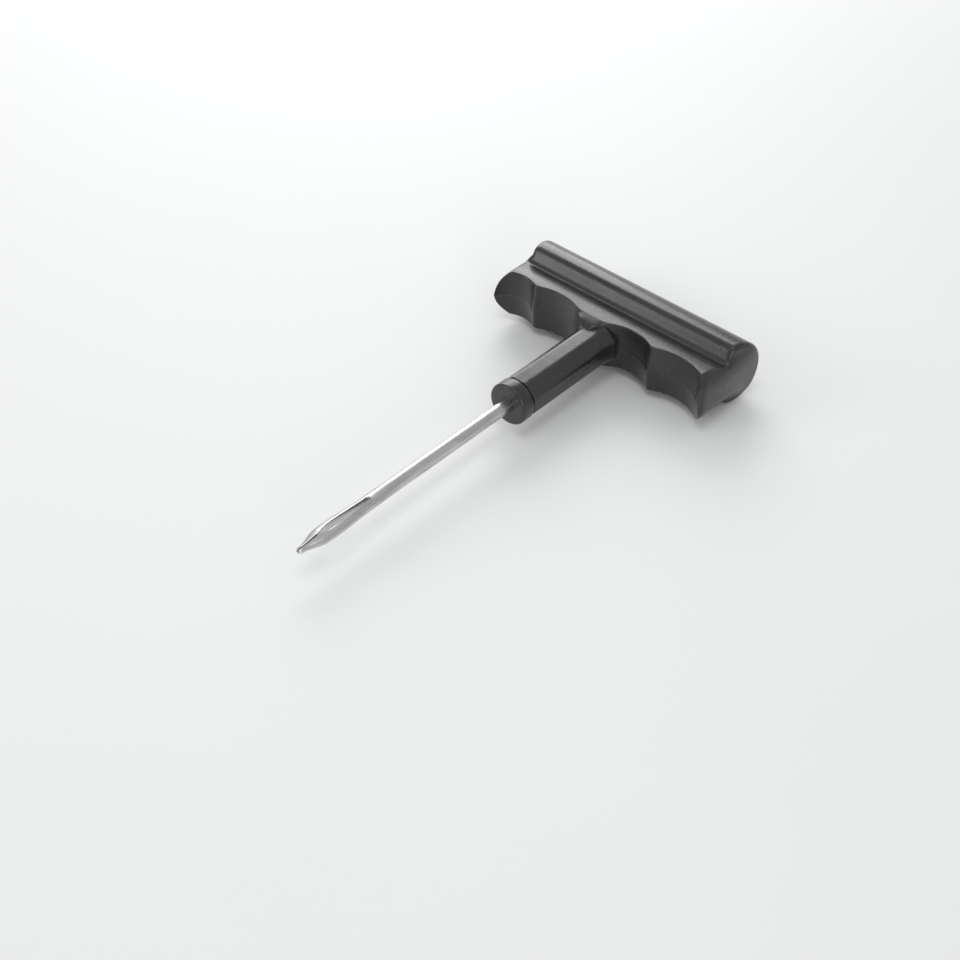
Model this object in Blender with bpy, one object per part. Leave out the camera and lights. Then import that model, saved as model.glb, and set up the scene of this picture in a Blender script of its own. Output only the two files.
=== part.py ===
"""Tyre plug insertion tool: a moulded T-handle, a split-eye needle and the pin that keys the needle.

The tool lies flat. The needle runs along X with its tip at -X, the bar of the handle runs along Y,
and Z is up. The origin is under the middle of the tool's length and of the bar's length, on the
surface that the tool lies on. The needle's axis is a little to one side of the bar's middle.
"""
from math import cos, pi, radians, sin, sqrt

import bmesh
import bpy
from mathutils import Matrix

MM = 0.001

# Driving dimensions. Places along X are measured from the crease line, the straight line through the
# crests of the knuckles between the finger grooves. A place towards the palm is positive. Places
# along Y are measured from the needle's axis.
NEEDLE_REACH = 118.0 * MM       # crease line to the needle's tip
PALM_DEPTH = 24.6 * MM          # crease line to the back of the bar
BAR_LENGTH = 71.0 * MM          # bar, measured along its upper finger edge
BAR_MIDDLE_Y = -1.2 * MM        # middle of the bar
END_SWELL = 3.1 * MM            # how far each end face swells beyond the finger edge's length
END_POWER = 3.0                 # squareness of that swelling between the upper and lower edge
FLARE_START = 4.0 * MM          # depth from which the swelling spreads over the whole height
EDGE_ROUND = 0.5 * MM           # rounding of the end faces at the finger edge
BEAD_ROUND = 1.6 * MM           # the same at the palm bead
BEAD_HALF = 10.2 * MM           # half the bar's greatest thickness, at the palm bead
NECK_END = -39.4 * MM           # end of the neck, where the needle comes out
GAP = 0.3 * MM                  # clearance between two touching pieces

# Section of the bar, above its mid plane.
EDGE_HALF = 7.7 * MM            # half thickness at the finger edge
VALLEY_HALF = 5.9 * MM          # half thickness at the bottom of the valley
VALLEY_X = 9.8 * MM             # bottom of the valley
VALLEY_POWER = 1.8              # how late the upper face falls towards the valley
BEAD_START_X = 13.0 * MM        # where the flat land on the palm bead begins
BEAD_END_X = PALM_DEPTH - BEAD_HALF
SWELL_LOW = 3.2 * MM            # how far the knuckle at the -Y end swells out beyond the crease line
SWELL_HIGH = 7.0 * MM           # the same for the knuckle at the +Y end
SWELL_POWER = 4.5               # squareness of that swelling
EDGE_CUT = 0.45 * MM            # broken edge along the finger grooves

# Finger grooves: upright hollows in the finger side. Each one is given by its middle along Y, half its
# width at the crease line and its depth beyond that line.
FINGER_GROOVES = ((-27.0 * MM, 7.7 * MM, 2.3 * MM), (-10.5 * MM, 7.5 * MM, 2.8 * MM),
                  (16.0 * MM, 7.4 * MM, 2.2 * MM), (29.4 * MM, 4.9 * MM, 1.6 * MM))
GROOVE_DRAFT = 0.5 * MM         # extra half width at the upper and lower edges
GROOVE_RIDGE = 0.5 * MM         # how far a groove's floor stands out along its parting line
KNUCKLE_BLEND = 0.9 * MM        # rounding where a groove meets the knuckle

# Neck: eight flats that fade into round corners, a flared root and a round collar.
NECK_FLAT = 5.95 * MM           # centre to flat
NECK_CORNER = 6.3 * MM          # centre to rounded corner
NECK_INSIDE = 6.0 * MM          # where the neck starts inside the bar
NECK_INSIDE_RADIUS = 4.8 * MM
ROOT_START = -5.0 * MM
ROOT_END = -0.4 * MM
ROOT_FLARE = 0.8 * MM
ROOT_STEPS = 6
COLLAR_LENGTH = 4.2 * MM
COLLAR_RADIUS = 6.35 * MM
COLLAR_STEP = 0.3 * MM          # length of each small step behind the collar
COLLAR_GROOVE = 0.25 * MM       # depth of the shadow line behind the collar
COLLAR_CHAMFER = 0.6 * MM

# Needle.
NEEDLE_RADIUS = 2.0 * MM
NEEDLE_INNER = 15.6 * MM        # buried end of the needle
EYE_START = -93.4 * MM          # closed, round end of the slot
EYE_WIDEST = -107.0 * MM
EYE_END = -111.2 * MM           # where the two prongs close to a slit
SLOT_HALF_START = 0.55 * MM
SLOT_HALF_WIDEST = 1.15 * MM
SLIT_HALF = 0.2 * MM

# Cross pin.
PIN_RADIUS = 1.0 * MM
PIN_LENGTH = 30.0 * MM
PIN_X = 12.0 * MM

# Resolution of the meshes.
BAR_STATIONS = 60
ARC_STEPS = 8
FLAT_STEPS = 5
FLANK_STEPS = 6
WALL_STEPS = 12
NECK_SIDES = 48
NEEDLE_SIDES = 24

# Where the crease line, the needle's axis and the mid plane lie in the part's frame.
CREASE_X = (NEEDLE_REACH - PALM_DEPTH) / 2
AXIS_Y = -BAR_MIDDLE_Y
AXIS_Z = BEAD_HALF


def smooth_step(t):
    """A ramp from 0 to 1 with level ends."""
    t = min(max(t, 0.0), 1.0)
    return t * t * (3 - 2 * t)


def ramp(points, x):
    """Height at x of a smooth curve through (x, height) points listed by falling x."""
    if x >= points[0][0]:
        return points[0][1]
    for (x_a, h_a), (x_b, h_b) in zip(points, points[1:]):
        if x >= x_b:
            return h_a + (h_b - h_a) * smooth_step((x_a - x) / (x_a - x_b))
    return points[-1][1]


def soft_max(a, b, blend):
    """The larger of two lengths, rounded where they cross."""
    near = max(blend - abs(a - b), 0.0) / blend
    return max(a, b) + near * near * blend / 4


def new_object(name, mesh, material=None):
    """Put a mesh in the scene, at the crease line and the needle's axis."""
    obj = bpy.data.objects.new(name, mesh)
    obj.location = (CREASE_X, AXIS_Y, AXIS_Z)
    bpy.context.scene.collection.objects.link(obj)
    if material:
        mesh.materials.append(material)
    return obj


def cutter(name, mesh):
    """A shape that only serves another object's Boolean."""
    obj = new_object(name, mesh)
    obj.hide_render = True
    obj.display_type = "WIRE"
    return obj


def boolean(obj, other, operation):
    """Join or cut one object with another."""
    modifier = obj.modifiers.new(other.name, "BOOLEAN")
    modifier.object = other
    modifier.operation = operation


def make_material(name, colour, roughness, metallic):
    """A plain Principled material."""
    material = bpy.data.materials.new(name)
    material.use_nodes = True
    shader = material.node_tree.nodes["Principled BSDF"]
    shader.inputs["Base Color"].default_value = (*colour, 1.0)
    shader.inputs["Roughness"].default_value = roughness
    shader.inputs["Metallic"].default_value = metallic
    return material


def loft(name, rings, sharp_angle):
    """Skin a list of equal rings and close both ends with a fan."""
    mesh = bpy.data.meshes.new(name)
    bm = bmesh.new()
    loops = [[bm.verts.new(point) for point in ring] for ring in rings]
    for lower, upper in zip(loops, loops[1:]):
        for i in range(len(lower)):
            j = (i + 1) % len(lower)
            bm.faces.new((lower[i], lower[j], upper[j], upper[i]))
    for loop in (loops[0], loops[-1]):
        centre = sum((v.co for v in loop), loop[0].co * 0) / len(loop)
        hub = bm.verts.new(centre)
        for i in range(len(loop)):
            bm.faces.new((loop[i], loop[(i + 1) % len(loop)], hub))
    bmesh.ops.recalc_face_normals(bm, faces=bm.faces)
    bm.to_mesh(mesh)
    bm.free()
    mesh.shade_smooth()
    mesh.set_sharp_from_angle(angle=radians(sharp_angle))
    return mesh


def rod(name, radius, x_a, x_b, sides):
    """A plain cylinder along X."""
    mesh = bpy.data.meshes.new(name)
    bm = bmesh.new()
    place = Matrix.Translation(((x_a + x_b) / 2, 0, 0)) @ Matrix.Rotation(pi / 2, 4, "Y")
    bmesh.ops.create_cone(bm, cap_ends=True, segments=sides, radius1=radius, radius2=radius,
                          depth=abs(x_b - x_a), matrix=place)
    bm.to_mesh(mesh)
    bm.free()
    return mesh


def cross_rod(name, radius, length, sides, chamfer=0.0):
    """A round rod along Y through PIN_X, with chamfered ends."""
    half = length / 2
    stations = [(-half, radius - chamfer), (-half + chamfer, radius), (half - chamfer, radius),
                (half, radius - chamfer)]
    if not chamfer:
        stations = [(-half, radius), (half, radius)]
    rings = []
    for y, r in stations:
        angles = [2 * pi * i / sides for i in range(sides)]
        rings.append([(PIN_X + r * cos(a), y, r * sin(a)) for a in angles])
    return loft(name, rings, 40)


# ---------------------------------------------------------------- bar

def top_height(x):
    """Height of the bar's upper face above the mid plane, from the finger edge to the bead."""
    if x <= VALLEY_X:
        share = max(x, 0.0) / VALLEY_X
        return EDGE_HALF + (VALLEY_HALF - EDGE_HALF) * share ** VALLEY_POWER
    rise = smooth_step((x - VALLEY_X) / (BEAD_START_X - VALLEY_X))
    return VALLEY_HALF + (BEAD_HALF - VALLEY_HALF) * rise


def finger_wall(y, z):
    """Place along X of the finger side at a given length and height."""
    level = min(abs(z) / EDGE_HALF, 1.0)
    swell = SWELL_LOW + (SWELL_HIGH - SWELL_LOW) * ((y - BAR_MIDDLE_Y) / BAR_LENGTH + 0.5)
    wall = -swell * sqrt(1 - level ** SWELL_POWER)
    for middle, half_width, depth in FINGER_GROOVES:
        half = half_width + GROOVE_DRAFT * level
        radius = (half * half + depth * depth) / (2 * depth)
        across = abs(y - middle)
        if across < radius:
            floor = depth - GROOVE_RIDGE * (1 - level)
            groove = floor - radius + sqrt(radius * radius - across * across)
            wall = soft_max(wall, groove, KNUCKLE_BLEND)
    return wall


def bar_end(x, z):
    """Half the bar's length at a given depth and height, over the whole end face."""
    level = min(abs(z) / EDGE_HALF, 1.0)
    deep = smooth_step((x - FLARE_START) / (PALM_DEPTH - FLARE_START))
    return BAR_LENGTH / 2 + END_SWELL * (1 - level ** END_POWER * (1 - deep))


def end_round(x):
    """How far the rounded rim of an end face reaches along Y at a given depth."""
    return EDGE_ROUND + (BEAD_ROUND - EDGE_ROUND) * smooth_step(x / BEAD_START_X)


def bar_section(share):
    """One closed outline of the bar, at a share of its half length from -1 to 1."""
    def along(x, z):
        return BAR_MIDDLE_Y + share * (bar_end(x, z) - end_round(x))

    y_edge = along(0.0, EDGE_HALF)
    crease = finger_wall(y_edge, EDGE_HALF)
    start = crease + EDGE_CUT
    upper = [(start + (VALLEY_X - start) * i / FLAT_STEPS) for i in range(FLAT_STEPS)]
    upper += [VALLEY_X + (BEAD_START_X - VALLEY_X) * i / FLANK_STEPS for i in range(FLANK_STEPS + 1)]
    upper = [(x, top_height(x)) for x in upper]
    for i in range(ARC_STEPS):
        a = pi / 2 - i * (pi / 2) / ARC_STEPS
        upper.append((BEAD_END_X + BEAD_HALF * cos(a), BEAD_HALF * sin(a)))

    outline = [(x, along(x, z), z) for x, z in upper]
    outline.append((PALM_DEPTH, along(PALM_DEPTH, 0.0), 0.0))
    outline += [(x, along(x, z), -z) for x, z in reversed(upper)]
    wall_top = top_height(crease) - EDGE_CUT
    for i in range(WALL_STEPS + 1):
        z = -wall_top * cos(pi * i / WALL_STEPS)
        y = along(0.0, z)
        outline.append((finger_wall(y, z), y, z))
    return outline


def shrink(outline, factor, lift):
    """A smaller copy of an end outline, lifted by a share of the rim's rounding."""
    centre_x = PALM_DEPTH / 2
    side = 1 if outline[0][1] > BAR_MIDDLE_Y else -1
    ring = []
    for x, _, z in outline:
        x_in = centre_x + (x - centre_x) * factor
        y = BAR_MIDDLE_Y + side * (bar_end(x_in, z * factor) - end_round(x) * (1 - lift))
        ring.append((x_in, y, z * factor))
    return ring


def bar_mesh():
    """The bar: sections along its length, then rounded rims and end faces."""
    shares = [-1 + 2 * i / BAR_STATIONS for i in range(BAR_STATIONS + 1)]
    sections = [bar_section(share) for share in shares]
    # Shares of the outline's size, each with the share of the rounding that it has climbed.
    rim = [(0.985, 0.44), (0.957, 0.7), (0.915, 0.91), (0.855, 1.0), (0.65, 1.0), (0.4, 1.0), (0.15, 1.0)]
    first = [shrink(sections[0], factor, lift) for factor, lift in reversed(rim)]
    last = [shrink(sections[-1], factor, lift) for factor, lift in rim]
    return loft("handle", first + sections + last, 32)


# ---------------------------------------------------------------- neck

def neck_ring(x, flat, corner):
    """A ring of the neck: eight flats cut across a circle of corner radius."""
    ring = []
    for i in range(NECK_SIDES):
        a = 2 * pi * i / NECK_SIDES
        from_flat = (a + pi / 8) % (pi / 4) - pi / 8
        radius = min(flat / cos(from_flat), corner)
        ring.append((x, radius * cos(a), radius * sin(a)))
    return ring


def neck_mesh():
    """The neck, from inside the bar to the flat end of its collar."""
    rings = [neck_ring(NECK_INSIDE, NECK_INSIDE_RADIUS, NECK_INSIDE_RADIUS)]
    for i in range(ROOT_STEPS + 1):
        x = ROOT_END + (ROOT_START - ROOT_END) * i / ROOT_STEPS
        flare = ROOT_FLARE * (1 - i / ROOT_STEPS) ** 2
        rings.append(neck_ring(x, NECK_FLAT + flare, NECK_CORNER + flare))
    collar = NECK_END + COLLAR_LENGTH
    shadow = NECK_FLAT - COLLAR_GROOVE
    rings.append(neck_ring(collar + 2 * COLLAR_STEP, NECK_FLAT, NECK_CORNER))
    rings.append(neck_ring(collar + COLLAR_STEP, shadow, shadow))
    rings.append(neck_ring(collar, shadow, shadow))
    rings.append(neck_ring(collar - COLLAR_STEP, COLLAR_RADIUS, COLLAR_RADIUS))
    rings.append(neck_ring(NECK_END + COLLAR_CHAMFER, COLLAR_RADIUS, COLLAR_RADIUS))
    end_radius = COLLAR_RADIUS - COLLAR_CHAMFER
    rings.append(neck_ring(NECK_END, end_radius, end_radius))
    return loft("neck_form", rings, 32)


def make_handle():
    """One moulding: bar and neck joined, then bored for the needle and its pin."""
    plastic = make_material("black_plastic", (0.02, 0.02, 0.021), 0.32, 0.0)
    handle = new_object("handle", bar_mesh(), plastic)
    boolean(handle, cutter("neck_form", neck_mesh()), "UNION")
    bore = rod("needle_bore", NEEDLE_RADIUS + GAP, NECK_END - MM, NEEDLE_INNER + GAP, NEEDLE_SIDES)
    boolean(handle, cutter("needle_bore", bore), "DIFFERENCE")
    seat = cross_rod("pin_seat", PIN_RADIUS + GAP, PIN_LENGTH + 2 * GAP, 20)
    boolean(handle, cutter("pin_seat", seat), "DIFFERENCE")
    return handle


# ---------------------------------------------------------------- needle

HALF_WIDTH = [(-84 * MM, 2.0 * MM), (-93.4 * MM, 2.3 * MM), (-106.5 * MM, 2.95 * MM),
              (-110 * MM, 2.9 * MM), (-117 * MM, 1.05 * MM)]
HALF_THICKNESS = [(-84 * MM, 2.0 * MM), (-93.4 * MM, 1.65 * MM), (-108 * MM, 1.5 * MM),
                  (-117 * MM, 0.8 * MM)]
SLOT_HALF = [(EYE_START, SLOT_HALF_START), (EYE_WIDEST, SLOT_HALF_WIDEST), (EYE_END, SLIT_HALF)]


def needle_mesh():
    """A round rod that flattens and widens into the eye and ends in a blunt tip."""
    stations = [(NEEDLE_INNER, 0.85), (NEEDLE_INNER - 0.4 * MM, 1.0)]
    stations += [(x * MM, 1.0) for x in (0, -40, -84)]
    stations += [((-85.5 - 1.5 * i) * MM, 1.0) for i in range(21)]
    stations += [(-117.0 * MM, 0.96), (-117.6 * MM, 0.78), (-118.0 * MM, 0.42)]
    rings = []
    for x, share in stations:
        wide = ramp(HALF_WIDTH, x) * share
        thick = ramp(HALF_THICKNESS, x) * share
        angles = [2 * pi * i / NEEDLE_SIDES for i in range(NEEDLE_SIDES)]
        rings.append([(x, wide * cos(a), thick * sin(a)) for a in angles])
    return loft("needle", rings, 40)


def slot_mesh():
    """The slot of the eye and the slit that opens it at the tip, as an upright prism."""
    outline = []
    for i in range(7):
        a = pi / 2 * i / 6
        outline.append((EYE_START + SLOT_HALF_START * cos(a), SLOT_HALF_START * sin(a)))
    steps = 14
    for i in range(1, steps + 1):
        x = EYE_START + (EYE_END - EYE_START) * i / steps
        outline.append((x, ramp(SLOT_HALF, x)))
    outline.append((-NEEDLE_REACH - MM, SLIT_HALF))
    outline += [(x, -y) for x, y in reversed(outline[1:])]
    mesh = bpy.data.meshes.new("eye_slot")
    bm = bmesh.new()
    tall = 4 * MM
    face = bm.faces.new([bm.verts.new((x, y, -tall)) for x, y in outline])
    grown = bmesh.ops.extrude_face_region(bm, geom=[face])
    moved = [item for item in grown["geom"] if isinstance(item, bmesh.types.BMVert)]
    bmesh.ops.translate(bm, verts=moved, vec=(0, 0, 2 * tall))
    bmesh.ops.recalc_face_normals(bm, faces=bm.faces)
    bm.to_mesh(mesh)
    bm.free()
    return mesh


def make_needle():
    """Needle with its eye cut through and a cross hole in the buried end."""
    steel = make_material("plated_steel", (0.62, 0.62, 0.6), 0.25, 1.0)
    needle = new_object("needle", needle_mesh(), steel)
    boolean(needle, cutter("eye_slot", slot_mesh()), "DIFFERENCE")
    hole = cross_rod("pin_hole", PIN_RADIUS + GAP, 8 * MM, 20)
    boolean(needle, cutter("pin_hole", hole), "DIFFERENCE")
    return needle


def make_cross_pin():
    """The pin that crosses the needle inside the bar."""
    steel = make_material("pin_steel", (0.45, 0.45, 0.45), 0.4, 1.0)
    return new_object("cross_pin", cross_rod("cross_pin", PIN_RADIUS, PIN_LENGTH, 20, 0.2 * MM), steel)


def main():
    for obj in list(bpy.data.objects):
        bpy.data.objects.remove(obj, do_unlink=True)
    make_handle()
    make_needle()
    make_cross_pin()


main()
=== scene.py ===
"""Looks for the tyre plug insertion tool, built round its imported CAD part.

The handle and the needle are remade with finer sections, rounded edges and moulding lines, in the
part's frame and to its dimensions. The cross pin stays as the part has it, inside the handle.
"""
from math import cos, pi, radians, sin, sqrt

import bmesh
import bpy
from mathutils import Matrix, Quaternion, Vector


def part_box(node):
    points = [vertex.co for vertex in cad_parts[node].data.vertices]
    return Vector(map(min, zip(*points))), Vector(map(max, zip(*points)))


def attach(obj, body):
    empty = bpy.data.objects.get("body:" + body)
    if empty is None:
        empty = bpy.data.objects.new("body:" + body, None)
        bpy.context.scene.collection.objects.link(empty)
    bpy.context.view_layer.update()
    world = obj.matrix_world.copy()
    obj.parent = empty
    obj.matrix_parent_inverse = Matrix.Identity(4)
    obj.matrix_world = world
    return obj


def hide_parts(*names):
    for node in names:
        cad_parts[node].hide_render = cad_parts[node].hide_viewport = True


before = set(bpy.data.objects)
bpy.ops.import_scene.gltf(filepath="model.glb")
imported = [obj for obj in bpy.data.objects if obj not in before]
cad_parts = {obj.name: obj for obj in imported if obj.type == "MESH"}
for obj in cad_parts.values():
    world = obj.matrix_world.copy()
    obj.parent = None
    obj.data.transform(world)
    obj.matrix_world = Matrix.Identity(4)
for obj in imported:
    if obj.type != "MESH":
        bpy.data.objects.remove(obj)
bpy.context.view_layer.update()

MM = 0.001

# Dimensions shared with the part. Places along X are measured from the crease line, places along Y from
# the needle's axis, and heights from the mid plane.
NEEDLE_REACH = 118.0 * MM       # crease line to the tip
PALM_DEPTH = 24.6 * MM          # crease line to the back of the bead
BAR_LENGTH = 71.0 * MM          # between the corners of the finger edge
BAR_MIDDLE_Y = -1.2 * MM
END_SWELL = 3.1 * MM            # how much further each end reaches at mid height and at the palm
END_POWER = 3.0
FLARE_START = 4.0 * MM          # where the corners of the ends begin to flare towards the palm
EDGE_ROUND = 0.5 * MM           # rounding of an end's rim at the finger edge
BEAD_ROUND = 1.6 * MM           # and round the bead
BEAD_HALF = 10.2 * MM
NECK_END = -39.4 * MM
EDGE_HALF = 7.7 * MM
VALLEY_HALF = 5.9 * MM
VALLEY_X = 9.8 * MM
VALLEY_POWER = 1.8
BEAD_START_X = 13.0 * MM        # where the bead reaches its full height
BEAD_END_X = PALM_DEPTH - BEAD_HALF
SWELL_LOW = 3.2 * MM            # bulge of the finger side at the bar's -Y end
SWELL_HIGH = 7.0 * MM           # and at its +Y end
SWELL_POWER = 4.5
EDGE_CUT = 0.45 * MM            # rounding along the finger edges
# Each finger groove's place along Y, half its width and its depth.
FINGER_GROOVES = ((-27.0 * MM, 7.7 * MM, 2.3 * MM), (-10.5 * MM, 7.5 * MM, 2.8 * MM),
                  (16.0 * MM, 7.4 * MM, 2.2 * MM), (29.4 * MM, 4.9 * MM, 1.6 * MM))
GROOVE_DRAFT = 0.5 * MM         # half a groove's width grows by this from mid height to the faces
GROOVE_RIDGE = 0.5 * MM         # and its depth shrinks by this at mid height
KNUCKLE_BLEND = 0.9 * MM
NECK_FLAT = 5.95 * MM           # neck's middle to its flats
NECK_CORNER = 6.3 * MM          # and to its rounded edges
NECK_INSIDE = 6.0 * MM          # where the neck ends inside the bar
NECK_INSIDE_RADIUS = 4.8 * MM
ROOT_START = -5.0 * MM
ROOT_END = -0.4 * MM
ROOT_FLARE = 0.8 * MM
COLLAR_LENGTH = 4.2 * MM
COLLAR_RADIUS = 6.35 * MM
COLLAR_GROOVE = 0.25 * MM
NEEDLE_RADIUS = 2.0 * MM
NEEDLE_INNER = 15.6 * MM        # where the needle ends inside the bar
EYE_START = -93.4 * MM
EYE_WIDEST = -107.0 * MM
EYE_END = -111.2 * MM
SLOT_HALF_START = 0.55 * MM
SLOT_HALF_WIDEST = 1.15 * MM
SLIT_HALF = 0.2 * MM

# Details that only the looks have.
BORE_PLAY = 0.04 * MM           # dark line round the needle where it leaves the neck
BORE_END_PLAY = 0.2 * MM        # and past its buried end
FLASH = 0.07 * MM               # height of the moulding line along the mid plane
FLASH_HALF = 0.16 * MM          # half its width
VALLEY_SOFT = 0.95 * MM         # reach of the rounding in the bottom of the valley
NECK_EDGE_SOFT = 0.16 * MM
COLLAR_ROUND = 0.7 * MM         # rounding of the collar's front rim
COLLAR_BACK_ROUND = 0.3 * MM
CUT_PAST = 1.0 * MM             # how far a cutter runs past the surface that it cuts
SHARP_ANGLE = radians(38)       # faces that meet at more than this keep a hard edge

NEEDLE_LOW, NEEDLE_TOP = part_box("needle")
HANDLE_LOW, HANDLE_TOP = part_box("handle")
CREASE = Vector((NEEDLE_LOW.x + NEEDLE_REACH, (NEEDLE_LOW.y + NEEDLE_TOP.y) / 2,
                 (HANDLE_LOW.z + HANDLE_TOP.z) / 2))


def smooth_step(t):
    """0 below 0, 1 above 1, and a soft rise between them."""
    t = min(max(t, 0.0), 1.0)
    return t * t * (3 - 2 * t)


def ramp(points, x):
    """Height at x of a smooth curve through (x, height) points listed by falling x."""
    if x >= points[0][0]:
        return points[0][1]
    for (x_a, h_a), (x_b, h_b) in zip(points, points[1:]):
        if x >= x_b:
            return h_a + (h_b - h_a) * smooth_step((x_a - x) / (x_a - x_b))
    return points[-1][1]


def soft_max(a, b, blend):
    """The larger of two lengths, rounded where they cross."""
    near = max(blend - abs(a - b), 0.0) / blend
    return max(a, b) + near * near * blend / 4


def add_object(name, mesh, material=None):
    """Link a mesh with its zero at the crease point, where the shared dimensions start."""
    obj = bpy.data.objects.new(name, mesh)
    obj.location = CREASE
    bpy.context.scene.collection.objects.link(obj)
    if material:
        mesh.materials.append(material)
    return obj


def loft(name, rings):
    """Skin a list of equal rings and close both ends with a fan."""
    mesh = bpy.data.meshes.new(name)
    bm = bmesh.new()
    loops = [[bm.verts.new(point) for point in ring] for ring in rings]
    for lower, upper in zip(loops, loops[1:]):
        for i in range(len(lower)):
            j = (i + 1) % len(lower)
            bm.faces.new((lower[i], lower[j], upper[j], upper[i]))
    for loop in (loops[0], loops[-1]):
        hub = bm.verts.new(sum((v.co for v in loop), Vector()) / len(loop))
        for i in range(len(loop)):
            bm.faces.new((loop[i], loop[(i + 1) % len(loop)], hub))
    bmesh.ops.recalc_face_normals(bm, faces=bm.faces)
    bm.to_mesh(mesh)
    bm.free()
    return mesh


def carve(obj, steps):
    """Apply Booleans given as (mesh, operation), then shade the result smooth but for real edges."""
    helpers = []
    for mesh, operation in steps:
        helper = add_object(mesh.name, mesh)
        modifier = obj.modifiers.new(mesh.name, "BOOLEAN")
        modifier.object = helper
        modifier.operation = operation
        helpers.append(helper)
    bpy.context.view_layer.update()
    evaluated = obj.evaluated_get(bpy.context.evaluated_depsgraph_get())
    result = bpy.data.meshes.new_from_object(evaluated)
    obj.modifiers.clear()
    obj.data = result
    for helper in helpers:
        bpy.data.objects.remove(helper, do_unlink=True)
    result.shade_smooth()
    result.set_sharp_from_angle(angle=SHARP_ANGLE)


# ---------------------------------------------------------------- handle

def top_height(x):
    """Height of the bar's upper face above the mid plane."""
    if x <= VALLEY_X:
        share = max(x, 0.0) / VALLEY_X
        return EDGE_HALF + (VALLEY_HALF - EDGE_HALF) * share ** VALLEY_POWER
    rise = smooth_step((x - VALLEY_X) / (BEAD_START_X - VALLEY_X))
    return VALLEY_HALF + (BEAD_HALF - VALLEY_HALF) * rise


def soft_top(x):
    """The same face with the bottom of the valley rounded."""
    return (top_height(x - VALLEY_SOFT) + 2 * top_height(x) + top_height(x + VALLEY_SOFT)) / 4


def finger_wall(y, z):
    """Place along X of the finger side, with the moulding line standing out at mid height."""
    level = min(abs(z) / EDGE_HALF, 1.0)
    swell = SWELL_LOW + (SWELL_HIGH - SWELL_LOW) * ((y - BAR_MIDDLE_Y) / BAR_LENGTH + 0.5)
    wall = -swell * sqrt(1 - level ** SWELL_POWER)
    for middle, half_width, depth in FINGER_GROOVES:
        half = half_width + GROOVE_DRAFT * level
        radius = (half * half + depth * depth) / (2 * depth)
        across = abs(y - middle)
        if across < radius:
            floor = depth - GROOVE_RIDGE * (1 - level)
            groove = floor - radius + sqrt(radius * radius - across * across)
            wall = soft_max(wall, groove, KNUCKLE_BLEND)
    return wall


def bar_end(x, z):
    """Half the bar's length at a given depth and height, over the whole end face."""
    level = min(abs(z) / EDGE_HALF, 1.0)
    deep = smooth_step((x - FLARE_START) / (PALM_DEPTH - FLARE_START))
    return BAR_LENGTH / 2 + END_SWELL * (1 - level ** END_POWER * (1 - deep))


def end_round(x):
    """How far the rounded rim of an end face reaches along Y at a given depth."""
    return EDGE_ROUND + (BEAD_ROUND - EDGE_ROUND) * smooth_step(x / BEAD_START_X)


# How finely the bar is divided. The steep flank of the bead has closer points than the flat before it.
BAR_STATIONS = 210
EDGE_STEPS = 5
FLAT_STEPS = 16
FLANK_START = VALLEY_X - MM
FLANK_END = BEAD_START_X + MM
FLANK_STEPS = 14
ARC_STEPS = 20
WALL_STEPS = 40
RIM_STEPS = 9
RIM_REACH = 0.145               # share of an end outline that its rounded rim takes
FACE_FACTORS = (0.8, 0.72, 0.62, 0.5, 0.38, 0.26, 0.13)


def bar_section(share):
    """One closed outline of the bar, at a share of its half length from -1 to 1."""
    def along(x, z):
        """Place along Y of this section's point at a depth and height."""
        return BAR_MIDDLE_Y + share * (bar_end(x, z) - end_round(x))

    y_edge = along(0.0, EDGE_HALF)
    crease = finger_wall(y_edge, EDGE_HALF)
    start = crease + EDGE_CUT
    crease_z = soft_top(crease)
    wall_top = crease_z - EDGE_CUT
    wall_x = finger_wall(along(0.0, wall_top), wall_top)
    edge = []
    for i in range(1, EDGE_STEPS):
        t = i / EDGE_STEPS
        x = (1 - t) ** 2 * wall_x + 2 * t * (1 - t) * crease + t * t * start
        z = (1 - t) ** 2 * wall_top + 2 * t * (1 - t) * crease_z + t * t * soft_top(start)
        edge.append((x, z))
    places = [start + (FLANK_START - start) * i / FLAT_STEPS for i in range(FLAT_STEPS)]
    flank = FLANK_END - FLANK_START
    places += [FLANK_START + flank * i / FLANK_STEPS for i in range(FLANK_STEPS + 1)]
    upper = edge + [(x, soft_top(x)) for x in places]
    first = places[-1] - BEAD_END_X
    for i in range(1, ARC_STEPS):
        a = pi / 2 - i * (pi / 2) / ARC_STEPS
        if BEAD_HALF * cos(a) > first:
            upper.append((BEAD_END_X + BEAD_HALF * cos(a), BEAD_HALF * sin(a)))

    outline = [(x, along(x, z), z) for x, z in upper]
    for z in (FLASH_HALF, 0.0, -FLASH_HALF):
        x = BEAD_END_X + sqrt(BEAD_HALF ** 2 - z * z)
        if z == 0.0:
            x += FLASH
        outline.append((x, along(x, z), z))
    outline += [(x, along(x, z), -z) for x, z in reversed(upper)]
    levels = [-wall_top * cos(pi * i / WALL_STEPS) for i in range(WALL_STEPS + 1)]
    lower = [z for z in levels if z < -2 * FLASH_HALF]
    for z in lower + [-FLASH_HALF, 0.0, FLASH_HALF] + [-z for z in reversed(lower)]:
        y = along(0.0, z)
        x = finger_wall(y, z)
        if z == 0.0:
            x -= FLASH
        outline.append((x, y, z))
    return outline


def shrink(outline, factor, lift):
    """A smaller copy of an end outline, lifted by a share of the rim's rounding."""
    centre_x = PALM_DEPTH / 2
    side = 1 if outline[0][1] > BAR_MIDDLE_Y else -1
    ring = []
    for x, _, z in outline:
        x_in = centre_x + (x - centre_x) * factor
        y = BAR_MIDDLE_Y + side * (bar_end(x_in, z * factor) - end_round(x) * (1 - lift))
        ring.append((x_in, y, z * factor))
    return ring


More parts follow.
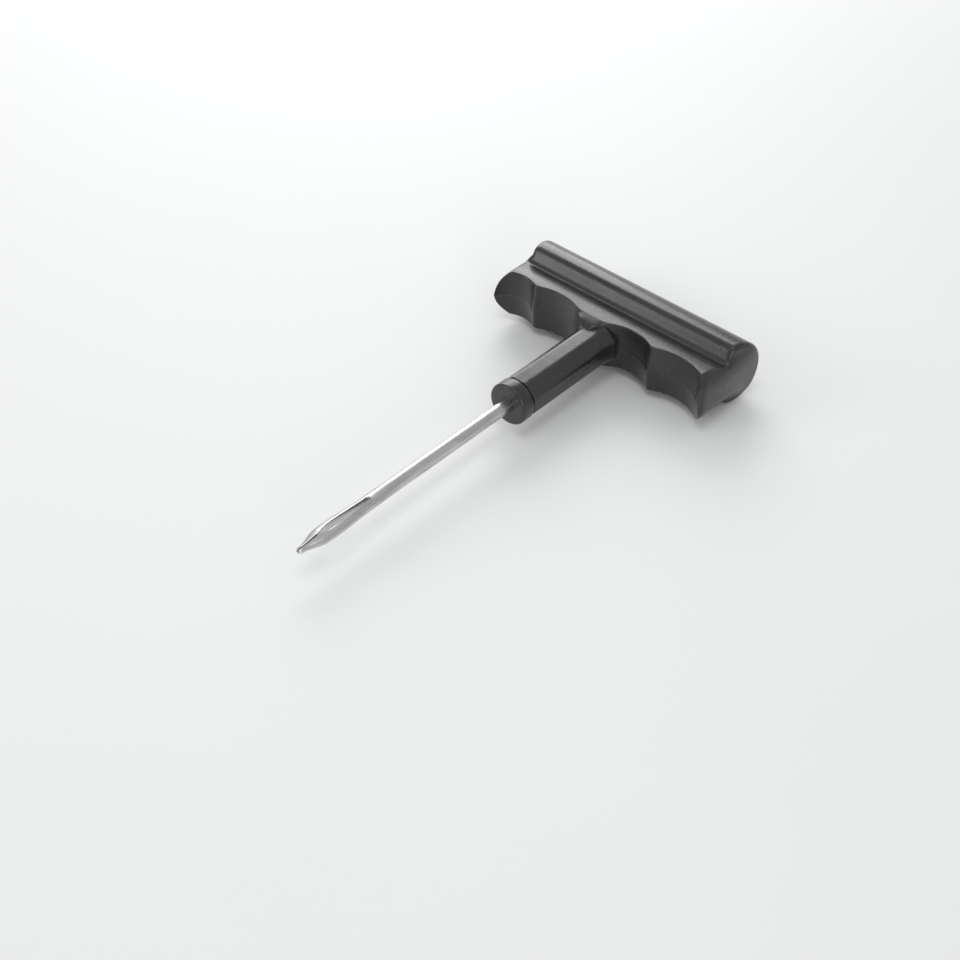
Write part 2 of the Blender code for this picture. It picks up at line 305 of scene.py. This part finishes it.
def end_rings(outline):
    """Rounded rim and face of one end of the bar, from the rim inwards."""
    rings = []
    for i in range(1, RIM_STEPS + 1):
        a = pi / 2 * i / RIM_STEPS
        rings.append(shrink(outline, 1 - RIM_REACH * (1 - cos(a)), sin(a)))
    rings += [shrink(outline, factor, 1.0) for factor in FACE_FACTORS]
    return rings


def bar_mesh():
    """The bar, skinned from one end face to the other."""
    shares = [-1 + 2 * i / BAR_STATIONS for i in range(BAR_STATIONS + 1)]
    sections = [bar_section(share) for share in shares]
    first = end_rings(sections[0])
    last = end_rings(sections[-1])
    return loft("handle_skin", list(reversed(first)) + sections + last)


NECK_SIDES = 96
ROOT_STEPS = 14
COLLAR_BACK_STEPS = 3
COLLAR_STEPS = 6
# The fine groove behind the collar: distance from the collar and share of the groove's depth.
GROOVE_WALL = ((0.75 * MM, 0.0), (0.6 * MM, 0.04), (0.5 * MM, 0.15), (0.45 * MM, 0.6))
GROOVE_FLOOR = (0.36 * MM, 0.12 * MM)
NECK_FACE_RADII = (5.0 * MM, 4.0 * MM, 3.0 * MM)


def neck_ring(x, flat, corner, flash=0.0):
    """A ring of the neck: eight flats with rounded edges, and the moulding line at each side."""
    ring = []
    for i in range(NECK_SIDES):
        a = 2 * pi * i / NECK_SIDES
        from_flat = (a + pi / 8) % (pi / 4) - pi / 8
        radius = -soft_max(-flat / cos(from_flat), -corner, NECK_EDGE_SOFT)
        if i % (NECK_SIDES // 2) == 0:
            radius += flash
        ring.append((x, radius * cos(a), radius * sin(a)))
    return ring


def round_ring(x, radius):
    """A round ring with the neck's number of points: its flats lie outside it."""
    return neck_ring(x, 2 * radius, radius)


def neck_mesh():
    """The neck from inside the bar to its end face: root, eight flats, fine groove and round collar."""
    rings = [neck_ring(NECK_INSIDE, NECK_INSIDE_RADIUS, NECK_INSIDE_RADIUS)]
    for i in range(ROOT_STEPS + 1):
        x = ROOT_END + (ROOT_START - ROOT_END) * i / ROOT_STEPS
        flare = ROOT_FLARE * (1 - i / ROOT_STEPS) ** 2
        rings.append(neck_ring(x, NECK_FLAT + flare, NECK_CORNER + flare, FLASH))
    collar = NECK_END + COLLAR_LENGTH
    shadow = NECK_FLAT - COLLAR_GROOVE
    rings.append(neck_ring((ROOT_START + collar) / 2, NECK_FLAT, NECK_CORNER, FLASH))
    for back, drop in GROOVE_WALL:
        flat = NECK_FLAT + (shadow - NECK_FLAT) * drop
        corner = NECK_CORNER + (shadow - NECK_CORNER) * drop
        rings.append(neck_ring(collar + back, flat, corner, FLASH * (1 - drop)))
    rings += [neck_ring(collar + back, shadow, shadow) for back in GROOVE_FLOOR]
    for i in range(COLLAR_BACK_STEPS + 1):
        a = pi / 2 * i / COLLAR_BACK_STEPS
        x = collar - COLLAR_BACK_ROUND * (1 - cos(a))
        rings.append(round_ring(x, COLLAR_RADIUS - COLLAR_BACK_ROUND * (1 - sin(a))))
    for i in range(COLLAR_STEPS + 1):
        a = pi / 2 * i / COLLAR_STEPS
        x = NECK_END + COLLAR_ROUND * (1 - sin(a))
        rings.append(round_ring(x, COLLAR_RADIUS - COLLAR_ROUND * (1 - cos(a))))
    rings += [round_ring(NECK_END, radius) for radius in NECK_FACE_RADII]
    return loft("neck_skin", rings)


def round_rod(name, radius, x_a, x_b, sides):
    """A plain rod along X between two places."""
    rings = []
    for x in (x_a, x_b):
        angles = [2 * pi * i / sides for i in range(sides)]
        rings.append([(x, radius * cos(a), radius * sin(a)) for a in angles])
    return loft(name, rings)


# ---------------------------------------------------------------- needle

# Half the needle's width and thickness at places along X.
HALF_WIDTH = [(-84 * MM, NEEDLE_RADIUS), (EYE_START, 2.3 * MM), (-106.5 * MM, 2.95 * MM),
              (-110 * MM, 2.9 * MM), (-117 * MM, 1.05 * MM)]
HALF_THICKNESS = [(-84 * MM, NEEDLE_RADIUS), (EYE_START, 1.65 * MM), (-108 * MM, 1.5 * MM),
                  (-117 * MM, 0.8 * MM)]
NEEDLE_SIDES = 64
INNER_CUT = 0.4 * MM            # length over which the buried end narrows
INNER_SHARE = 0.85              # width of the buried end's face, as a share of the rod's
SHANK_STATIONS = [-20 * MM, -40 * MM, -62 * MM]
EYE_STATIONS = [(-80 - 0.3 * i) * MM for i in range(122)]      # every 0.3 mm
TIP_ROUND = 1.5 * MM
TIP_STEPS = 8
TIP_SHARE = 0.3                 # share of its width that the rounding leaves at the very tip
TIP_FACE = 0.8                  # the blunt face, as a share of the ring before it


def needle_mesh():
    """A round rod that flattens and widens into the eye and ends in a blunt tip."""
    stations = [NEEDLE_INNER, NEEDLE_INNER - INNER_CUT] + SHANK_STATIONS + EYE_STATIONS
    for i in range(TIP_STEPS):
        stations.append(-NEEDLE_REACH + TIP_ROUND * (1 - sin(pi / 2 * i / TIP_STEPS)))
    angles = [2 * pi * i / NEEDLE_SIDES for i in range(NEEDLE_SIDES)]
    rings = []
    for x in stations:
        share = INNER_SHARE if x == NEEDLE_INNER else 1.0
        past = (-NEEDLE_REACH + TIP_ROUND - x) / TIP_ROUND
        if past > 0:
            share = TIP_SHARE + (1 - TIP_SHARE) * sqrt(1 - past * past)
        wide = ramp(HALF_WIDTH, x) * share
        thick = ramp(HALF_THICKNESS, x) * share
        rings.append([(x, wide * cos(a), thick * sin(a)) for a in angles])
    rings.append([(-NEEDLE_REACH, y * TIP_FACE, z * TIP_FACE) for _, y, z in rings[-1]])
    return loft("needle_skin", rings)


# Half the slot's width at places along X. Its walls curve outwards towards both faces: the curve starts
# at FLARE_LEVEL from the mid plane, and FLARE_DEPTH further out it has spread by SLOT_FLARE.
SLOT_HALF = [(EYE_START, SLOT_HALF_START), (EYE_WIDEST, SLOT_HALF_WIDEST), (EYE_END, SLIT_HALF)]
SLOT_FLARE = 0.32 * MM
SLOT_FLARE_MOST = 0.6 * MM
FLARE_LEVEL_IN_MM = 0.8
FLARE_DEPTH_IN_MM = 0.9
UPPER_LEVELS_IN_MM = [0.9, 1.15, 1.4, 1.65, 1.9, 3.0]
SLIT_FLARE_SHARE = 0.5          # the slit's walls spread by only this share of the slot's
SLOT_ARC_STEPS = 12
SLOT_WALL_STEPS = 40


def slot_mesh():
    """The slot and the slit at the tip, opening out at both faces so that their edges are rounded."""
    levels = [-z for z in reversed(UPPER_LEVELS_IN_MM)] + [0.0] + UPPER_LEVELS_IN_MM
    rings = []
    for z in levels:
        flare = SLOT_FLARE * (max(abs(z) - FLARE_LEVEL_IN_MM, 0.0) / FLARE_DEPTH_IN_MM) ** 2
        flare = min(flare, SLOT_FLARE_MOST)
        reach = SLOT_HALF_START + flare
        outline = []
        for i in range(SLOT_ARC_STEPS + 1):
            a = pi / 2 * i / SLOT_ARC_STEPS
            outline.append((EYE_START + reach * cos(a), reach * sin(a)))
        for i in range(1, SLOT_WALL_STEPS + 1):
            x = EYE_START + (EYE_END - EYE_START) * i / SLOT_WALL_STEPS
            spread = flare * (1 - (1 - SLIT_FLARE_SHARE) * i / SLOT_WALL_STEPS)
            outline.append((x, ramp(SLOT_HALF, x) + spread))
        outline.append((-NEEDLE_REACH - CUT_PAST, SLIT_HALF + flare * SLIT_FLARE_SHARE))
        outline += [(x, -y) for x, y in reversed(outline[1:])]
        rings.append([(x, y, z * MM) for x, y in outline])
    return loft("eye_slot", rings)


# ---------------------------------------------------------------- materials

class Nodes:
    """A material's node tree with short calls for the nodes that these looks use."""

    def __init__(self, name):
        self.material = bpy.data.materials.new(name)
        self.material.use_nodes = True
        self.tree = self.material.node_tree
        self.shader = self.tree.nodes["Principled BSDF"]
        place = self.tree.nodes.new("ShaderNodeTexCoord")
        self.place = place.outputs["Object"]

    def link(self, source, target):
        self.tree.links.new(source, target)

    def scaled(self, x=1, y=1, z=1):
        """Object coordinates in millimetres, stretched along each axis."""
        node = self.tree.nodes.new("ShaderNodeMapping")
        node.inputs["Scale"].default_value = (x / MM, y / MM, z / MM)
        self.link(self.place, node.inputs["Vector"])
        return node.outputs["Vector"]

    def noise(self, vector, scale=1.0, detail=3.0, roughness=0.5, distortion=0.0):
        """Soft noise with its middle at 0.5, about one unit wide at scale 1."""
        node = self.tree.nodes.new("ShaderNodeTexNoise")
        node.inputs["Scale"].default_value = scale
        node.inputs["Detail"].default_value = detail
        node.inputs["Roughness"].default_value = roughness
        node.inputs["Distortion"].default_value = distortion
        self.link(vector, node.inputs["Vector"])
        return node.outputs["Fac"]

    def specks(self, vector, scale, core, edge):
        """Scattered round specks, full within the core radius and gone at the edge radius."""
        node = self.tree.nodes.new("ShaderNodeTexVoronoi")
        node.inputs["Scale"].default_value = scale
        self.link(vector, node.inputs["Vector"])
        return self.fit(node.outputs["Distance"], core, edge, 1.0, 0.0)

    def fit(self, value, low, high, to_low=0.0, to_high=1.0):
        """Carry a value from one range to another, held at both ends."""
        node = self.tree.nodes.new("ShaderNodeMapRange")
        for key, number in (("From Min", low), ("From Max", high), ("To Min", to_low),
                            ("To Max", to_high)):
            node.inputs[key].default_value = number
        self.link(value, node.inputs["Value"])
        return node.outputs["Result"]

    def math(self, operation, a, b):
        """Two values put together. Either can be a plain number."""
        node = self.tree.nodes.new("ShaderNodeMath")
        node.operation = operation
        for socket, value in ((node.inputs[0], a), (node.inputs[1], b)):
            if isinstance(value, (int, float)):
                socket.default_value = value
            else:
                self.link(value, socket)
        return node.outputs[0]

    def mix(self, factor, a, b):
        """Colour a at factor 0 and colour b at factor 1."""
        node = self.tree.nodes.new("ShaderNodeMix")
        node.data_type = "RGBA"
        self.link(factor, node.inputs["Factor"])
        for socket, value in ((node.inputs["A"], a), (node.inputs["B"], b)):
            if isinstance(value, tuple):
                socket.default_value = (*value, 1.0)
            else:
                self.link(value, socket)
        return node.outputs["Result"]

    def bump(self, pattern, height, normal=None):
        """Relief of a given height, on top of another bump's normal where there is one."""
        node = self.tree.nodes.new("ShaderNodeBump")
        node.inputs["Strength"].default_value = 1.0
        node.inputs["Distance"].default_value = height
        self.link(pattern, node.inputs["Height"])
        if normal:
            self.link(normal, node.inputs["Normal"])
        return node.outputs["Normal"]

    def finish(self, colour, roughness, normal, **fixed):
        """Link the three patterns to the shader and set the inputs that stay the same all over."""
        self.link(colour, self.shader.inputs["Base Color"])
        self.link(roughness, self.shader.inputs["Roughness"])
        self.link(normal, self.shader.inputs["Normal"])
        for key, number in fixed.items():
            self.shader.inputs[key.replace("_", " ")].default_value = number
        return self.material


BLACK = (0.011, 0.011, 0.0115)
BLACK_CLOUD = (0.02, 0.02, 0.0205)
RUBBED = (0.06, 0.06, 0.06)
DUST = (0.3, 0.3, 0.29)
PLATING = (0.7, 0.7, 0.69)
PLATING_CLOUD = (0.5, 0.5, 0.485)
DRAWN_LINE = (0.4, 0.4, 0.4)
PIT = (0.22, 0.2, 0.18)
PIN = (0.5, 0.49, 0.47)
PIN_MOTTLE = (0.36, 0.355, 0.35)
FLOOR = (0.85, 0.85, 0.845)
FLOOR_CLOUD = (0.88, 0.88, 0.875)


def black_plastic():
    """Satin black moulding: orange peel, soft flow marks, faint rubbed streaks and a little dust."""
    n = Nodes("black_plastic_look")
    even = n.scaled()
    flow = n.noise(n.scaled(0.35, 0.035, 0.35), 1.0, 4.0, 0.55)
    peel = n.noise(even, 1.1, 2.0, 0.45)
    grain = n.noise(even, 5.5, 3.0, 0.6)
    cloud = n.noise(even, 0.09, 3.0, 0.5, 0.6)
    streaks_y = n.fit(n.noise(n.scaled(2.6, 0.06, 1.2), 1.0, 2.0, 0.6), 0.66, 0.74)
    streaks_x = n.fit(n.noise(n.scaled(0.09, 2.2, 1.6), 1.0, 2.0, 0.6), 0.72, 0.8)
    scuff = n.math("MAXIMUM", streaks_y, streaks_x)
    scuff = n.math("MULTIPLY", scuff, n.fit(cloud, 0.48, 0.66))
    dust = n.math("MULTIPLY", n.specks(even, 0.7, 0.05, 0.09), n.fit(grain, 0.42, 0.5))
    tone = n.mix(n.fit(cloud, 0.3, 0.7), BLACK, BLACK_CLOUD)
    tone = n.mix(n.math("MULTIPLY", scuff, 0.35), tone, RUBBED)
    tone = n.mix(n.math("MULTIPLY", dust, 0.55), tone, DUST)
    rough = n.math("ADD", n.fit(cloud, 0.3, 0.7, 0.26, 0.36), n.fit(flow, 0.3, 0.7, -0.03, 0.04))
    rough = n.math("ADD", rough, n.fit(grain, 0.3, 0.7, -0.02, 0.03))
    rough = n.math("ADD", rough, n.math("MULTIPLY", scuff, 0.16))
    normal = n.bump(flow, 0.09 * MM)
    normal = n.bump(peel, 0.045 * MM, normal)
    normal = n.bump(grain, 0.009 * MM, normal)
    gloss = {"IOR": 1.52, "Coat_Weight": 0.25, "Coat_Roughness": 0.16}
    return n.finish(tone, rough, normal, Metallic=0.0, **gloss)


def plated_steel():
    """Bright plated wire: drawing lines along it, soft clouds in the plating and small pits."""
    n = Nodes("plated_steel_look")
    even = n.scaled()
    drawn = n.noise(n.scaled(0.05, 3.2, 3.2), 1.0, 4.0, 0.6)
    cloud = n.noise(n.scaled(0.12, 0.4, 0.4), 1.0, 3.0, 0.55, 0.4)
    grain = n.noise(even, 4.0, 3.0, 0.6)
    pits = n.math("MULTIPLY", n.specks(even, 0.9, 0.05, 0.1), n.fit(cloud, 0.45, 0.6))
    tone = n.mix(n.fit(cloud, 0.35, 0.65), PLATING, PLATING_CLOUD)
    tone = n.mix(n.fit(drawn, 0.38, 0.62, 0.0, 0.45), tone, DRAWN_LINE)
    tone = n.mix(n.math("MULTIPLY", pits, 0.5), tone, PIT)
    rough = n.math("ADD", n.fit(drawn, 0.3, 0.7, 0.2, 0.32), n.fit(cloud, 0.3, 0.7, -0.02, 0.05))
    rough = n.math("ADD", rough, n.math("MULTIPLY", pits, 0.2))
    normal = n.bump(drawn, 0.02 * MM)
    normal = n.bump(grain, 0.004 * MM, normal)
    return n.finish(tone, rough, normal, Metallic=1.0)


def pin_steel():
    """Plain steel pin: turned marks round it and a dull mottled skin."""
    n = Nodes("pin_steel_look")
    turned = n.noise(n.scaled(0.5, 5.0, 0.5), 1.0, 3.0, 0.6)
    mottle = n.noise(n.scaled(), 0.8)
    tone = n.mix(n.fit(mottle, 0.3, 0.7), PIN, PIN_MOTTLE)
    rough = n.math("ADD", n.fit(turned, 0.3, 0.7, 0.3, 0.42), n.fit(mottle, 0.3, 0.7, -0.03, 0.05))
    return n.finish(tone, rough, n.bump(turned, 0.01 * MM), Metallic=1.0)


def pale_floor():
    """Plain pale studio floor with a hardly visible unevenness."""
    n = Nodes("pale_floor_look")
    cloud = n.noise(n.scaled(0.01, 0.01, 0.01))
    grain = n.noise(n.scaled(), 0.6, 2.0)
    tone = n.mix(cloud, FLOOR, FLOOR_CLOUD)
    rough = n.fit(cloud, 0.3, 0.7, 0.55, 0.62)
    return n.finish(tone, rough, n.bump(grain, 0.01 * MM), Metallic=0.0)


# ---------------------------------------------------------------- scene

FLOOR_HALF = 6.0                # metres, wide enough to fill the view to the horizon
SKY_COLOUR = (0.97, 0.985, 1.0)
SKY_STRENGTH = 0.6
# Each softbox's name, direction from the tool, distance and side in metres, and radiance.
SOFTBOXES = (("back_softbox", (0.62, 0.64, 0.45), 0.95, 0.62, 3.3),
             ("left_softbox", (-0.72, 0.6, 0.4), 0.95, 0.36, 3.2),
             ("front_softbox", (-0.5, -0.85, 0.35), 1.0, 0.3, 4.5),
             ("top_softbox", (-0.2, -0.1, 1.0), 1.1, 0.4, 3.0))
CAMERA_PLACE = (-0.2576, -0.2233, 0.2974)
CAMERA_LOOK = (0.55496, 0.49006, -0.6722)
CAMERA_ROLL = radians(1.13)
CAMERA_LENS = 61.36             # millimetres, on the sensor's width below
CAMERA_SENSOR = 36.0
CAMERA_RANGE = (0.01, 20.0)     # metres


def build_pieces():
    """The handle's and the needle's skins in place of the part's, and the part's own pin."""
    handle = add_object("handle_skin", bar_mesh(), black_plastic())
    bore_radius = NEEDLE_RADIUS + BORE_PLAY
    bore_end = NEEDLE_INNER + BORE_END_PLAY
    bore = round_rod("bore_cut", bore_radius, NECK_END - CUT_PAST, bore_end, NEEDLE_SIDES)
    carve(handle, [(neck_mesh(), "UNION"), (bore, "DIFFERENCE")])
    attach(handle, "root")
    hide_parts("handle")

    needle = add_object("needle_skin", needle_mesh(), plated_steel())
    carve(needle, [(slot_mesh(), "DIFFERENCE")])
    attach(needle, "root")
    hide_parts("needle")

    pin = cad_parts["cross_pin"]
    pin.data.materials.clear()
    pin.data.materials.append(pin_steel())


def build_floor():
    """A flat floor at the height where the tool's lowest points stand."""
    mesh = bpy.data.meshes.new("studio_floor")
    bm = bmesh.new()
    corners = ((-1, -1), (1, -1), (1, 1), (-1, 1))
    bm.faces.new([bm.verts.new((x * FLOOR_HALF, y * FLOOR_HALF, 0.0)) for x, y in corners])
    bm.to_mesh(mesh)
    bm.free()
    floor = bpy.data.objects.new("studio_floor", mesh)
    bpy.context.scene.collection.objects.link(floor)
    mesh.materials.append(pale_floor())


def add_softbox(name, direction, distance, size, radiance):
    """A square area light that looks at the tool from a direction."""
    light = bpy.data.lights.new(name, "AREA")
    light.shape = "SQUARE"
    light.size = size
    light.energy = radiance * pi * size * size
    obj = bpy.data.objects.new(name, light)
    away = Vector(direction).normalized()
    obj.location = away * distance
    obj.rotation_euler = away.to_track_quat("Z", "Y").to_euler()
    bpy.context.scene.collection.objects.link(obj)


def build_light():
    """Four softboxes and a plain, slightly cool sky."""
    for softbox in SOFTBOXES:
        add_softbox(*softbox)
    world = bpy.data.worlds.new("studio")
    world.use_nodes = True
    sky = world.node_tree.nodes["Background"]
    sky.inputs["Color"].default_value = (*SKY_COLOUR, 1.0)
    sky.inputs["Strength"].default_value = SKY_STRENGTH
    bpy.context.scene.world = world


def build_camera():
    """The camera looks down on the tool from the tip's side, turned slightly about its own axis."""
    camera = bpy.data.cameras.new("camera")
    camera.lens = CAMERA_LENS
    camera.sensor_width = CAMERA_SENSOR
    camera.clip_start, camera.clip_end = CAMERA_RANGE
    obj = bpy.data.objects.new("camera", camera)
    obj.location = CAMERA_PLACE
    turn = Vector(CAMERA_LOOK).to_track_quat("-Z", "Y") @ Quaternion((0, 0, 1), CAMERA_ROLL)
    obj.rotation_euler = turn.to_euler()
    bpy.context.scene.collection.objects.link(obj)
    bpy.context.scene.camera = obj


build_camera()
build_pieces()
build_floor()
build_light()
bpy.context.scene.view_settings.view_transform = "Standard"

bpy.context.view_layer.update()
